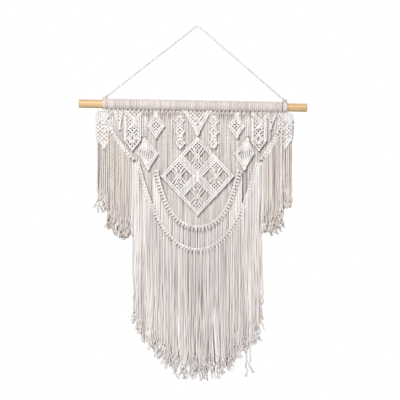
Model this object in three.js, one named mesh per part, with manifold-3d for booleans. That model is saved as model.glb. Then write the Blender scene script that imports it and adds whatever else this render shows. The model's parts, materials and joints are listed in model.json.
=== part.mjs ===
// A macrame wall hanging: a panel of knotted cotton cord on a wooden dowel, hung by a cord.
// Millimetres, +Z up, the front faces -Y and +X is to the right. The origin is the top of
// the nail or hook that the hanger cord lies over. The knotted sections and the fringes are
// plain closed solids of the room that each one takes up.

import * as THREE from 'three';
import { mergeVertices } from 'three/addons/utils/BufferGeometryUtils.js';
import Module from 'manifold-3d';

// ---------------------------------------------------------------------------
// Driving dimensions
// ---------------------------------------------------------------------------

const clearance = 0.3; // between two pieces that lie against each other

// The dowel hangs with its right end a little lower, and its middle left of the nail.
const dowelLength = 600;
const dowelDiameter = 22;
const dowelChamfer = 1.5;
const dowelDrop = 206.7; // from the nail down to the dowel's axis, at the dowel's middle
const dowelShift = -12;
const dowelSlope = THREE.MathUtils.degToRad(1.03);

// The cord wraps round the dowel: lark's heads, and a knot of the hanger at each end.
const wrapThickness = 3.2;
const hangerKnotLength = 15;
const hangerKnotExtra = 0.8; // how much thicker the hanger knots are than the lark's heads
const hangerKnotRadius = 6;

// The hanger cord, from knot to knot over the nail, as points of its middle line.
const hangerCordDiameter = 4.5;
const hangerCordRoute = [
  [-237.7, -181.1], [-216, -163.9], [-180, -135.5], [-144, -107.5], [-108, -79.4],
  [-72, -51.3], [-36, -23.3], [-12, -4.6], [-5.8, 0.3], [-3, 1.8], [0, 2.3],
  [3.2, 1.7], [6.2, 0], [12, -5.1], [36, -25.9], [72, -57.0], [108, -88.2],
  [144, -119.4], [180, -150.5], [210, -176.5], [224.8, -189.4],
];

// The layers of the panel, from the wall side to the front.
const backThickness = 5;
const mainThickness = 8;
const frontThickness = 6;
const backFace = 7.3; // the panel's wall side, behind the dowel's axis

// Widths of the columns of the knotted band, from the middle outwards.
const centreNetHalfWidth = 37.5;
const chainWidth = 16;
const plainCordsWidth = 29;
const smallDiamondWidth = 46;
const smallDiamondTopWidth = 16;
const stemWidth = 14.5;
const netColumnWidth = 44;
const triangleWidth = 28;
const triangleTipReach = 9.8; // from its inner edge
const outerNetWidth = 12;
const outerNetFlare = 30.5; // how far the outer net spreads past the end of its row
const outerNetTaper = 4; // how far its inner edge moves outwards on the way down

// Lengths of the columns, down from the row of lark's heads.
const centreNetLength = 66;
const chainSideLength = 88;
const chainLength = 104;
const smallDiamondMiddle = 41;
const smallDiamondLength = 73;
const stemLength = 68;
const netSideLength = 78;
const netColumnLength = 105;
const triangleLength = 49;
const outerNetShoulder = 18;
const outerNetSideLength = 70;
const outerNetLength = 100;

// The leaf diamond, a kite that hangs from the stem, and the four diamonds in the middle.
const kiteShoulder = 43;
const kiteLength = 88;
const kiteInnerReach = 38;
const kiteOuterReach = 18;
const kiteTipReach = 10;
const kiteBarWidth = 7;
const diamondHalfWidth = 48.8;
const diamondHalfHeight = 52;
const diamondBarWidth = 9;

// The swags are catenaries. A bigger slack number gives steeper ends and a flatter middle.
const swagWidth = 10;
const innerSwagMargin = 6.4; // from the diamonds' side corners
const innerSwagRise = 17; // how far its ends lie above the side corners
const innerSwagBelow = 30; // from the diamonds' lower tip
const innerSwagSlack = 3;
const outerSwagHalfSpan = 157;
const outerSwagEndDepth = 135;
const outerSwagBelow = 59; // from the inner swag's lowest point
const outerSwagSlack = 2.2;
const sideSwagStart = [223.5, 45];
const sideSwagEndGap = 10; // from the outer swag's end, sideways
const sideSwagEndRise = 6;
const sideSwagSag = 4;
const sideSwagOverlap = [6, 9]; // where the side fringe starts: inwards of and below the swag's start
const innerCornerRise = 14; // of the side fringe, from the outer swag's end

// The fringes hinge on a round edge under the swags.
const sideFringeSeamDepth = 154;
const sideHingeRadius = 6;
const sideFringeReach = 257;
const sideFringeSplit = 228;
const sideFringeShortLength = 95;
const sideFringeLongLength = 170;
const sideFringeSlant = 18;
const lowerSeamBelow = 8; // from the outer swag's lower edge
const lowerHingeRadius = 13;
const lowerFringeMargin = 12; // how far the lower fringe reaches past the outer swag's ends
const lowerFringeLength = 310;
const fringeGap = 2; // between two locks that swing past each other
const fringeParting = 47; // the partings between the three locks, from the middle
const innerFringeLength = 272;
const innerFringeSideLength = 234;
const backFringeLength = 252;

// The outer fringe's lower edge on each side: share of the way out from the parting, length lost.
const lowerEdge = [[0, 6], [0.22, 22], [0.52, 65], [0.86, 108], [1, 189]];

// How much wider the columns lie on the left of the nail than on its right.
const sides = [
  { name: 'left', sign: -1, spread: 1.03 },
  { name: 'right', sign: 1, spread: 0.97 },
];

// ---------------------------------------------------------------------------
// Places that follow from the dimensions
// ---------------------------------------------------------------------------

const dowelRadius = dowelDiameter / 2;
const wrapInnerRadius = dowelRadius + clearance;
const wrapRadius = wrapInnerRadius + wrapThickness;

const mainBack = backFace - backThickness - clearance;
const frontBack = mainBack - mainThickness - clearance;
const frontFace = frontBack - frontThickness;

const chainInner = centreNetHalfWidth + clearance;
const chainOuter = chainInner + chainWidth;
const smallDiamondInner = chainOuter + plainCordsWidth;
const smallDiamondOuter = smallDiamondInner + smallDiamondWidth;
const stemInner = smallDiamondOuter + clearance;
const stemOuter = stemInner + stemWidth;
const netInner = stemOuter + clearance;
const netOuter = netInner + netColumnWidth;
const triangleInner = netOuter + clearance;
const triangleOuter = triangleInner + triangleWidth;
const outerNetInner = triangleOuter + clearance;
const outerNetOuter = outerNetInner + outerNetWidth;
const outerNetReach = outerNetOuter + outerNetFlare;
const outerNetCorner = outerNetInner + outerNetTaper;
const outerNetTip = (outerNetReach + outerNetCorner) / 2;

// Heights of the dowel's axis and of the top edge that hangs under the lark's heads.
const axisHeight = (x) => -dowelDrop - Math.tan(dowelSlope) * (x - dowelShift);
const seatHeight = (x) => axisHeight(x) - wrapRadius - clearance;
const panelTop = seatHeight(0);
const below = (depth) => panelTop - depth;

const clusterTop = below(centreNetLength) - 2 * clearance;
const clusterMiddle = clusterTop - 2 * diamondHalfHeight - clearance;
const clusterBottom = clusterTop - 4 * diamondHalfHeight - 2 * clearance;

const innerSwag = {
  halfSpan: 2 * diamondHalfWidth + innerSwagMargin + swagWidth / 2,
  top: clusterMiddle + innerSwagRise,
  bottom: clusterBottom - innerSwagBelow,
  slack: innerSwagSlack,
};
const outerSwag = {
  halfSpan: outerSwagHalfSpan,
  top: below(outerSwagEndDepth),
  bottom: innerSwag.bottom - outerSwagBelow,
  slack: outerSwagSlack,
};

const lowerFringeHalfWidth = outerSwag.halfSpan + lowerFringeMargin;
const sideFringeInner = lowerFringeHalfWidth + fringeGap;

// Hinge lines of the fringes. Each runs along X, below its seam by the round edge's radius.
const sideHinge = {
  y: mainBack - mainThickness / 2,
  z: below(sideFringeSeamDepth) - sideHingeRadius,
  radius: sideHingeRadius,
  halfThickness: mainThickness / 2,
};
const lowerHinge = {
  y: (backFace + frontFace) / 2,
  z: outerSwag.bottom - swagWidth / 2 - lowerSeamBelow - lowerHingeRadius,
  radius: lowerHingeRadius,
  halfThickness: (backFace - frontFace) / 2,
};

// ---------------------------------------------------------------------------
// Materials
// ---------------------------------------------------------------------------

const cotton = new THREE.MeshStandardMaterial({ color: 0xe2d6ce, roughness: 0.95, metalness: 0 });
const wood = new THREE.MeshStandardMaterial({ color: 0xe9c48f, roughness: 0.6, metalness: 0 });

// ---------------------------------------------------------------------------
// Joining and cutting
// ---------------------------------------------------------------------------

const wasm = await Module();
wasm.setup();

function toSolid(geometry) {
  const bare = geometry.clone();
  bare.deleteAttribute('normal');
  bare.deleteAttribute('uv');
  const merged = mergeVertices(bare);
  return new wasm.Manifold(new wasm.Mesh({
    numProp: 3,
    vertProperties: merged.attributes.position.array,
    triVerts: new Uint32Array(merged.index.array),
  }));
}

function toGeometry(solid) {
  const mesh = solid.getMesh();
  const geometry = new THREE.BufferGeometry();
  geometry.setAttribute('position', new THREE.BufferAttribute(mesh.vertProperties, 3));
  geometry.setIndex(new THREE.BufferAttribute(mesh.triVerts, 1));
  geometry.computeVertexNormals();
  return geometry;
}

// ---------------------------------------------------------------------------
// Shapes
// ---------------------------------------------------------------------------

function shapeOf(outline) {
  const points = outline.map(([x, z]) => new THREE.Vector2(x, z));
  return new THREE.Shape(THREE.ShapeUtils.isClockWise(points) ? points.reverse() : points);
}

// A plate in the panel's plane: an outline of [x, z] points, from its back face forwards.
function plate(outline, back, thickness, hole) {
  const shape = shapeOf(outline);
  if (hole) {
    shape.holes.push(shapeOf(hole));
  }
  const geometry = new THREE.ExtrudeGeometry(shape, { depth: thickness, bevelEnabled: false });
  geometry.rotateX(Math.PI / 2);
  geometry.translate(0, back, 0);
  return geometry;
}

// The outline moved inwards by a distance, for a convex outline of straight edges.
function inset(outline, distance) {
  const middle = outline.reduce(([a, b], [x, z]) => [a + x / outline.length, b + z / outline.length], [0, 0]);
  const edges = outline.map(([x1, z1], i) => {
    const [x2, z2] = outline[(i + 1) % outline.length];
    const length = Math.hypot(x2 - x1, z2 - z1);
    const normal = [(z2 - z1) / length, (x1 - x2) / length];
    const offset = normal[0] * x1 + normal[1] * z1;
    const inwards = Math.sign(normal[0] * middle[0] + normal[1] * middle[1] - offset);
    return { normal, offset: offset + inwards * distance };
  });
  return edges.map((edge, i) => {
    const next = edges[(i + 1) % edges.length];
    const det = edge.normal[0] * next.normal[1] - edge.normal[1] * next.normal[0];
    return [
      (edge.offset * next.normal[1] - next.offset * edge.normal[1]) / det,
      (edge.normal[0] * next.offset - next.normal[0] * edge.offset) / det,
    ];
  });
}

// Points along a swag between two shares of its half span, moved outwards by an offset.
function swagCurve(swag, from, to, offset, steps) {
  const { halfSpan, top, bottom, slack } = swag;
  const depth = top - bottom;
  const scale = Math.cosh(slack) - 1;
  return Array.from({ length: steps + 1 }, (_, i) => {
    const share = from + (to - from) * (i / steps);
    const rise = (depth * (Math.cosh(slack * share) - 1)) / scale;
    const slope = (depth * slack * Math.sinh(slack * share)) / scale / halfSpan;
    const length = Math.hypot(1, slope);
    return [
      share * halfSpan + (offset * slope) / length,
      bottom + rise - offset / length,
    ];
  });
}

const swagBand = (swag, steps) => [
  ...swagCurve(swag, -1, 1, swagWidth / 2, steps),
  ...swagCurve(swag, 1, -1, -swagWidth / 2, steps),
];

// A round bar along X, for the hinged edges.
function hingeBar(hinge, radius, halfWidth) {
  const bar = new THREE.CylinderGeometry(radius, radius, 2 * halfWidth, 36);
  bar.rotateZ(Math.PI / 2);
  bar.translate(0, hinge.y, hinge.z);
  return toSolid(bar);
}

const hingeReach = 400; // half the length of a hinge's cutting tools, past every fringe

// Where the pieces above a hinge end: just clear of the round edge's front corner.
function seamHeight(hinge) {
  const grooveRadius = hinge.radius + clearance;
  return hinge.z + Math.sqrt(grooveRadius ** 2 - hinge.halfThickness ** 2) + clearance;
}

// A plate that ends above a hinge gets a hollow edge.
function hollowEdge(geometry, hinge) {
  const groove = hingeBar(hinge, hinge.radius + 1.2 * clearance, hingeReach);
  return toGeometry(toSolid(geometry).subtract(groove));
}

// A plate that starts at a hinge gets a round edge that turns in the hollow one.
function roundEdge(geometry, hinge) {
  const depth = hingeReach * 2;
  const box = new THREE.BoxGeometry(2 * hingeReach, 4 * hinge.radius, depth);
  box.translate(0, hinge.y, hinge.z - depth / 2);
  const room = hingeBar(hinge, hinge.radius, hingeReach).add(toSolid(box));
  return toGeometry(toSolid(geometry).intersect(room));
}

// ---------------------------------------------------------------------------
// The scene graph
// ---------------------------------------------------------------------------

const hanging = new THREE.Group();
const alongDowel = new THREE.Group();
alongDowel.position.set(dowelShift, 0, -dowelDrop);
alongDowel.rotation.y = dowelSlope;
hanging.add(alongDowel);

function addMesh(parent, name, geometry, material) {
  const mesh = new THREE.Mesh(geometry, material);
  mesh.name = name;
  parent.add(mesh);
}

const addKnotted = (name, geometry) => addMesh(hanging, name, geometry, cotton);

// ---------------------------------------------------------------------------
// Dowel, lark's heads and hanger
// ---------------------------------------------------------------------------

function dowel() {
  const half = dowelLength / 2;
  const profile = [
    [0, -half], [dowelRadius - dowelChamfer, -half], [dowelRadius, dowelChamfer - half],
    [dowelRadius, half - dowelChamfer], [dowelRadius - dowelChamfer, half], [0, half],
  ];
  const geometry = new THREE.LatheGeometry(profile.map(([r, s]) => new THREE.Vector2(r, s)), 32);
  geometry.rotateZ(-Math.PI / 2);
  return geometry;
}

// A sleeve of cord turns round the dowel between two places along it.
function sleeve(from, to, outerRadius) {
  const bevel = wrapThickness / 3;
  const profile = [
    [wrapInnerRadius, from], [outerRadius - bevel, from], [outerRadius, from + bevel],
    [outerRadius, to - bevel], [outerRadius - bevel, to], [wrapInnerRadius, to], [wrapInnerRadius, from],
  ];
  const points = profile.map(([r, s]) => new THREE.Vector2(r, s));
  const geometry = new THREE.LatheGeometry(points, 32);
  geometry.rotateZ(-Math.PI / 2);
  return geometry;
}

const placeOnDowel = (x) => (x - dowelShift) / Math.cos(dowelSlope);

function larksHeads(name, from, to) {
  const geometry = sleeve(placeOnDowel(from), placeOnDowel(to), wrapRadius);
  addMesh(alongDowel, name, geometry, cotton);
}

function hangerKnot(side) {
  const rowEnd = side.spread * outerNetOuter + clearance;
  const ends = [side.sign * rowEnd, side.sign * (rowEnd + hangerKnotLength)].sort((a, b) => a - b);
  const [from, to] = ends.map(placeOnDowel);
  const outerRadius = wrapRadius + hangerKnotExtra;
  const ball = new THREE.SphereGeometry(hangerKnotRadius, 16, 10);
  ball.translate((from + to) / 2, 0, wrapInnerRadius + hangerKnotRadius);
  const ring = toSolid(sleeve(from, to, outerRadius));
  addMesh(alongDowel, `hanger_knot_${side.name}`, toGeometry(ring.add(toSolid(ball))), cotton);
}

function hangerCord() {
  const route = hangerCordRoute.map(([x, z]) => new THREE.Vector3(x, 0, z));
  const path = new THREE.CatmullRomCurve3(route);
  const section = new THREE.Shape();
  section.absarc(0, 0, hangerCordDiameter / 2, 0, 2 * Math.PI);
  return new THREE.ExtrudeGeometry(section, {
    extrudePath: path, steps: 64, curveSegments: 10, bevelEnabled: false,
  });
}

addMesh(alongDowel, 'dowel', dowel(), wood);
addMesh(hanging, 'hanger_cord', hangerCord(), cotton);
sides.forEach(hangerKnot);

larksHeads('larks_heads_centre', -sides[0].spread * chainOuter, sides[1].spread * chainOuter);
for (const side of sides) {
  const rows = {
    larks_heads_diamond: [chainOuter, stemOuter],
    larks_heads_net: [stemOuter, netOuter],
    larks_heads_outer: [netOuter, outerNetOuter],
  };
  for (const [name, [inner, outer]] of Object.entries(rows)) {
    const ends = [inner + clearance, outer].map((x) => side.sign * side.spread * x);
    ends.sort((a, b) => a - b);
    larksHeads(`${name}_${side.name}`, ...ends);
  }
}

// ---------------------------------------------------------------------------
// The knotted band: one set of columns on each side of the centre net
// ---------------------------------------------------------------------------

// A point of a side's outline, and one on the edge that hangs under the lark's heads.
const at = (side, x, depth) => [side.sign * side.spread * x, below(depth)];
const under = (side, x) => {
  const place = side.sign * side.spread * x;
  return [place, seatHeight(place)];
};

const addMain = (name, outline, hole) => addKnotted(name, plate(outline, mainBack, mainThickness, hole));

function outerNet(side) {
  addMain(`outer_net_${side.name}`, [
    under(side, outerNetInner), under(side, outerNetOuter),
    at(side, outerNetReach, outerNetShoulder), at(side, outerNetReach, outerNetSideLength),
    at(side, outerNetTip, outerNetLength), at(side, outerNetCorner, outerNetSideLength),
  ]);
}

function triangleNet(side) {
  const tip = triangleInner + triangleTipReach;
  addMain(`triangle_net_${side.name}`, [
    under(side, triangleInner), under(side, triangleOuter), at(side, tip, triangleLength),
  ]);
}

function netColumn(side) {
  const tip = (netInner + netOuter) / 2;
  addMain(`net_column_${side.name}`, [
    under(side, netInner), under(side, netOuter), at(side, netOuter, netSideLength),
    at(side, tip, netColumnLength), at(side, netInner, netSideLength),
  ]);
}

function smallDiamond(side) {
  const middle = (smallDiamondInner + smallDiamondOuter) / 2;
  addMain(`small_diamond_${side.name}`, [
    under(side, middle - smallDiamondTopWidth / 2), under(side, middle + smallDiamondTopWidth / 2),
    at(side, smallDiamondOuter, smallDiamondMiddle), at(side, middle, smallDiamondLength),
    at(side, smallDiamondInner, smallDiamondMiddle),
  ]);
}

function chain(side) {
  addMain(`knot_chain_${side.name}`, [
    under(side, chainInner), under(side, chainOuter), at(side, chainOuter, chainSideLength),
    at(side, (chainInner + chainOuter) / 2, chainLength), at(side, chainInner, chainSideLength),
  ]);
}

function stemAndLeafDiamond(side) {
  const middle = (stemInner + stemOuter) / 2;
  const top = stemLength + clearance;
  addMain(`diamond_stem_${side.name}`, [
    under(side, stemInner), under(side, stemOuter),
    at(side, stemOuter, stemLength), at(side, stemInner, stemLength),
  ]);
  const kite = [
    at(side, middle, top), at(side, middle + kiteOuterReach, top + kiteShoulder),
    at(side, middle - kiteTipReach, top + kiteLength),
    at(side, middle - kiteInnerReach, top + kiteShoulder),
  ];
  addMain(`leaf_diamond_${side.name}`, kite, inset(kite, kiteBarWidth));
  addMain(`leaf_bundle_${side.name}`, inset(kite, kiteBarWidth + clearance));
}

for (const side of sides) {
  outerNet(side);
  triangleNet(side);
  netColumn(side);
  smallDiamond(side);
  stemAndLeafDiamond(side);
  chain(side);
}

addMain('centre_net', [
  under(sides[0], centreNetHalfWidth), [0, below(centreNetLength)], under(sides[1], centreNetHalfWidth),
]);

// ---------------------------------------------------------------------------
// The four diamonds in the middle, each a knotted bar round its filling
// ---------------------------------------------------------------------------

function clusterDiamond(name, column, row) {
  const x = column * (diamondHalfWidth + clearance / 2);
  const z = clusterMiddle + row * (diamondHalfHeight + clearance / 2);
  const outline = [
    [x, z + diamondHalfHeight], [x + diamondHalfWidth, z],
    [x, z - diamondHalfHeight], [x - diamondHalfWidth, z],
  ];
  addMain(`diamond_${name}`, outline, inset(outline, diamondBarWidth));
  addMain(`diamond_filling_${name}`, inset(outline, diamondBarWidth + clearance));
}

clusterDiamond('top', 0, 1);
clusterDiamond('left', -1, 0);
clusterDiamond('right', 1, 0);
clusterDiamond('bottom', 0, -1);

// ---------------------------------------------------------------------------
// The plain cords that hang behind, down to the lower fringe's seam
// ---------------------------------------------------------------------------

const seamBottom = seamHeight(lowerHinge);

function backCords(name, from, to) {
  const outline = [
    [from, seatHeight(from)], [to, seatHeight(to)], [to, seamBottom], [from, seamBottom],
  ];
  addKnotted(name, hollowEdge(plate(outline, backFace, backThickness), lowerHinge));
}

const backOuter = innerSwag.halfSpan - swagWidth / 2;
backCords('back_cords_centre', -chainOuter, chainOuter);
backCords('back_cords_left', -backOuter, -chainOuter - clearance);
backCords('back_cords_right', chainOuter + clearance, backOuter);

// Behind the nets the cords end at the side swag and the outer swag, which they are knotted on.
function sideCords(side) {
  const inner = side.sign * (backOuter + clearance);
  const swagEnds = swagCurve(outerSwag, side.sign, inner / outerSwag.halfSpan, 0, 6);
  const outline = [
    under(side, triangleOuter), at(side, sideSwagStart[0] - sideSwagOverlap[0], sideSwagStart[1]),
    [side.sign * sideFringeInner, outerSwag.top + sideSwagEndRise], ...swagEnds,
    [inner, seatHeight(inner)],
  ];
  addKnotted(`side_cords_${side.name}`, plate(outline, backFace, backThickness));
}

sides.forEach(sideCords);

// ---------------------------------------------------------------------------
// Swags and the part of the fringes that hangs above the seams
// ---------------------------------------------------------------------------

addKnotted('inner_swag', plate(swagBand(innerSwag, 24), frontBack, frontThickness));
addKnotted('outer_swag', plate(swagBand(outerSwag, 24), frontBack, frontThickness));

function innerFringeTop() {
  const outline = [
    ...swagCurve(innerSwag, -1, 1, 0, 16),
    [innerSwag.halfSpan, seamBottom], [-innerSwag.halfSpan, seamBottom],
  ];
  addKnotted('inner_fringe_top', hollowEdge(plate(outline, mainBack, mainThickness), lowerHinge));
}

function outerFringeTop(side) {
  const offset = swagWidth / 2 + clearance;
  const middle = side.sign * clearance;
  const curve = swagCurve(outerSwag, side.sign, middle / outerSwag.halfSpan, offset, 14);
  const edge = side.sign * lowerFringeHalfWidth;
  const outline = [
    [edge, outerSwag.top], ...curve, [middle, seamBottom], [edge, seamBottom],
  ];
  const geometry = hollowEdge(plate(outline, frontBack, frontThickness), lowerHinge);
  addKnotted(`outer_fringe_top_${side.name}`, geometry);
}

// The side swag runs down from the outer net to the outer swag's end, with a slight sag.
function sideSwag(side) {
  const start = at(side, ...sideSwagStart);
  const end = [side.sign * (outerSwag.halfSpan + sideSwagEndGap), outerSwag.top + sideSwagEndRise];
  const length = Math.hypot(end[0] - start[0], end[1] - start[1]);
  const along = [(end[0] - start[0]) / length, (end[1] - start[1]) / length];
  const steps = 8;
  const line = (offset) => Array.from({ length: steps + 1 }, (_, i) => {
    const share = i / steps;
    const sag = 4 * sideSwagSag * share * (1 - share);
    return [
      start[0] + along[0] * length * share + along[1] * offset * side.sign,
      start[1] + along[1] * length * share - along[0] * offset * side.sign - sag,
    ];
  });
  const outline = [...line(swagWidth / 2), ...line(-swagWidth / 2).reverse()];
  addKnotted(`side_swag_${side.name}`, plate(outline, frontBack, frontThickness));
}

function sideFringeTop(side) {
  const slope = (outerNetLength - outerNetSideLength) / (outerNetReach - outerNetTip);
  const outerDepth = outerNetSideLength + slope * (outerNetReach - sideFringeReach);
  const inner = side.sign * sideFringeInner;
  const seam = seamHeight(sideHinge);
  const gap = 2 * clearance;
  const outline = [
    at(side, sideFringeReach, outerDepth + gap), at(side, outerNetTip, outerNetLength + gap),
    at(side, outerNetCorner, outerNetSideLength + gap),
    at(side, sideSwagStart[0] - sideSwagOverlap[0], sideSwagStart[1] + sideSwagOverlap[1]),
    [inner, outerSwag.top + innerCornerRise], [inner, seam], [at(side, sideFringeReach, 0)[0], seam],
  ];
  const geometry = hollowEdge(plate(outline, mainBack, mainThickness), sideHinge);
  addKnotted(`side_fringe_top_${side.name}`, geometry);
}

innerFringeTop();
for (const side of sides) {
  outerFringeTop(side);
  sideSwag(side);
  sideFringeTop(side);
}

// ---------------------------------------------------------------------------
// The fringes that swing: two locks on each side, and three layers in the middle
// ---------------------------------------------------------------------------

function fringe(name, outline, back, thickness, hinge) {
  addKnotted(name, roundEdge(plate(outline, back, thickness), hinge));
}

function sideFringe(side) {
  const top = sideHinge.z + sideHinge.radius;
  const short = sideHinge.z - sideFringeShortLength;
  const long = sideHinge.z - sideFringeLongLength;
  const outer = side.sign * side.spread * sideFringeReach;
  const split = side.sign * side.spread * sideFringeSplit;
  const inner = side.sign * sideFringeInner;
  fringe(`side_fringe_short_${side.name}`, [
    [outer, top], [split + side.sign * clearance, top],
    [split + side.sign * clearance, short - sideFringeSlant / 3], [outer, short],
  ], mainBack, mainThickness, sideHinge);
  fringe(`side_fringe_long_${side.name}`, [
    [split, top], [inner, top], [inner, long],
    [(inner + split) / 2, long], [split, long + sideFringeSlant],
  ], mainBack, mainThickness, sideHinge);
}

function lowerFringe() {
  const top = lowerHinge.z + lowerHinge.radius;
  const bottom = lowerHinge.z - lowerFringeLength;
  for (const side of sides) {
    const outer = side.sign * lowerFringeHalfWidth;
    const parting = side.sign * (fringeParting + fringeGap / 2);
    const edge = lowerEdge.map(([share, lost]) => [parting + (outer - parting) * share, bottom + lost]);
    fringe(`outer_fringe_${side.name}`, [
      [outer, top], [parting, top], ...edge,
    ], frontBack, frontThickness, lowerHinge);
  }
  const half = fringeParting - fringeGap / 2;
  fringe('outer_fringe_centre', [
    [-half, top], [half, top], [half, bottom], [-half, bottom],
  ], frontBack, frontThickness, lowerHinge);
  fringe('inner_fringe', [
    [-innerSwag.halfSpan, top], [innerSwag.halfSpan, top],
    [innerSwag.halfSpan, lowerHinge.z - innerFringeSideLength],
    [fringeParting, lowerHinge.z - innerFringeLength],
    [-fringeParting, lowerHinge.z - innerFringeLength],
    [-innerSwag.halfSpan, lowerHinge.z - innerFringeSideLength],
  ], mainBack, mainThickness, lowerHinge);
  fringe('back_fringe', [
    [-backOuter, top], [backOuter, top],
    [backOuter, lowerHinge.z - backFringeLength], [-backOuter, lowerHinge.z - backFringeLength],
  ], backFace, backThickness, lowerHinge);
}

sides.forEach(sideFringe);
lowerFringe();

export default hanging;
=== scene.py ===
import json
import math
import random

import bpy
import numpy as np
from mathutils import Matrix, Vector


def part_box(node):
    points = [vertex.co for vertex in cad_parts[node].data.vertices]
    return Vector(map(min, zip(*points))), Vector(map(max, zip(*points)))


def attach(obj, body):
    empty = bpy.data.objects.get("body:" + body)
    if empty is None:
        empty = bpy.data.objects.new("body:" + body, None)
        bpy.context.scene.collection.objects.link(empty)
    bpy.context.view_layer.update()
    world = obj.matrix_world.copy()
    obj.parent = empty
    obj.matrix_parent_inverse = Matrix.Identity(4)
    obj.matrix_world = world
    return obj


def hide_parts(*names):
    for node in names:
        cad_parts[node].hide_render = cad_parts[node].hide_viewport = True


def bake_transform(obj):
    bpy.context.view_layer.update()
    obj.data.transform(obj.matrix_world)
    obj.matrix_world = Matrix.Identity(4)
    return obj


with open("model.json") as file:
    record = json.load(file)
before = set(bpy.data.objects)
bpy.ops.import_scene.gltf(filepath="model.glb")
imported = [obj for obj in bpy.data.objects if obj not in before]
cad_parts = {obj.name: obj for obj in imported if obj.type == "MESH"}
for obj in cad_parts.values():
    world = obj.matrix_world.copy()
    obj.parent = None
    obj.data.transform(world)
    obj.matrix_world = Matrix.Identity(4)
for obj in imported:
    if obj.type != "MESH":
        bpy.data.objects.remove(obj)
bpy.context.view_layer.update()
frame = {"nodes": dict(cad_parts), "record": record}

# A macrame wall hanging. Every knot, ridge and fringe is made of swept cord. Places come from
# the boxes of the CAD nodes. Lengths in this script are millimetres until a mesh is made, and
# a place with two numbers is how far to the right and how high.

MM = 0.001
SEED = 5
SIDES = {"left": -1, "right": 1}

CORD = 4.2  # diameter of a hanging strand
NET_CORD = 0.94 * CORD
SWAG_CORD = 0.85 * CORD  # in the swags and the narrow knot chains
THIN_CORD = 0.8 * CORD  # in single knots and the smallest nets
PLIES = 3
LAY = 19.0  # length of one full turn of the plies
PITCH = 5.3  # from strand to strand
BACK_PITCH = 3.55  # from strand to strand at the back, where they lie over each other

WRAP_WIDTH = 5.8
WRAP_THICKNESS = 3.6
DOWEL_LENGTH = 600
DOWEL_CHAMFER = 1.6

RIDGE = 5.0  # diameter of a knotted ridge
SMALL_RIDGE = 0.84 * RIDGE
COIL_PITCH, COIL_RADIUS, COIL_CORD = 0.52, 0.2, 0.66  # shares of a ridge's diameter
NET_PITCH = 7.4

HEAD = 8.8  # from one lark's head on a swag to the next
INNER_SLACK = 3.0  # the more slack, the steeper a swag's ends are
OUTER_SLACK = 2.2
SWAG_BAND = 10.0  # how wide a swag is, from its upper edge to its lower edge
SIDE_SAG = 4.0

LOWER_SKEW = 0.06  # how much lower the long fringe ends on the right
SIDE_SHORTFALL = {-1: 5, 1: 15}  # how far above its plate's edge a long side lock ends
STRAYS = [(-159, 22), (-62, 20), (132, 76), (137, 70)]  # place and extra length of stray cords
# Gaps between locks of the long fringe: place, height and half width.
PARTINGS = [(-101, -760, 3.0), (-51, -790, 4.0), (43, -775, 4.8), (98, -830, 2.5)]
PARTING_START = 60  # how far above its height a parting begins to open
KINKED_LENGTH = 60  # how much of a strand is kinked, above its loose end
PLAIN_TOP = 11.5  # how far below the dowel's axis the plain cords begin
LEAD_LENGTH = 70  # how far down they have come back to their own layer

rng = random.Random(SEED)


# --- Places, from the frame ---------------------------------------------------------------

def box(node):
    """A CAD node's lowest and highest corners, in millimetres."""
    low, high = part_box(node)
    return np.array(low) / MM, np.array(high) / MM


def joint(name):
    found = next(j for j in frame["record"]["behaviour"]["joints"] if j["name"] == name)
    return np.array(found["pos_m"]) / MM, np.array(found["axis"])


DOWEL_MIDDLE, DOWEL_AXIS = joint("dowel_roll")
DOWEL_RADIUS = (box("dowel")[1][1] - box("dowel")[0][1]) / 2

BACK_Y = sum(b[1] for b in box("back_cords_centre")) / 2
MAIN_Y = sum(b[1] for b in box("centre_net")) / 2
FRONT_Y = sum(b[1] for b in box("outer_swag")) / 2
LEAD = BACK_Y - MAIN_Y - 2.5  # how far forward the plain cords leave the dowel


def axis_height(x):
    """Height of the dowel's axis at x."""
    return DOWEL_MIDDLE[2] + DOWEL_AXIS[2] / DOWEL_AXIS[0] * (x - DOWEL_MIDDLE[0])


class Cell:
    """Places in a node's box: u from the middle of the hanging outwards, v downwards."""

    def __init__(self, node, side):
        self.low, self.high = box(node)
        self.side = side

    def __call__(self, u, v):
        across = u if self.side > 0 else 1 - u
        x = self.low[0] + across * (self.high[0] - self.low[0])
        return np.array([x, self.high[2] - v * (self.high[2] - self.low[2])])


def lower_edge(node):
    """The height of a plate's lower edge at any x."""
    mesh = frame["nodes"][node].data
    corners = np.array([v.co for v in mesh.vertices]) / MM
    edges = np.array([corners[list(e.vertices)] for e in mesh.edges])
    low, high = edges[:, :, 0].min(axis=1), edges[:, :, 0].max(axis=1)

    def height(x):
        x = min(max(x, low.min() + 0.01), high.max() - 0.01)
        across = edges[(low <= x) & (high >= x) & (high > low)]
        share = (x - across[:, 0, 0]) / (across[:, 1, 0] - across[:, 0, 0])
        return float((across[:, 0, 2] + (across[:, 1, 2] - across[:, 0, 2]) * share).min())

    return height


# --- Cord meshes --------------------------------------------------------------------------

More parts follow.
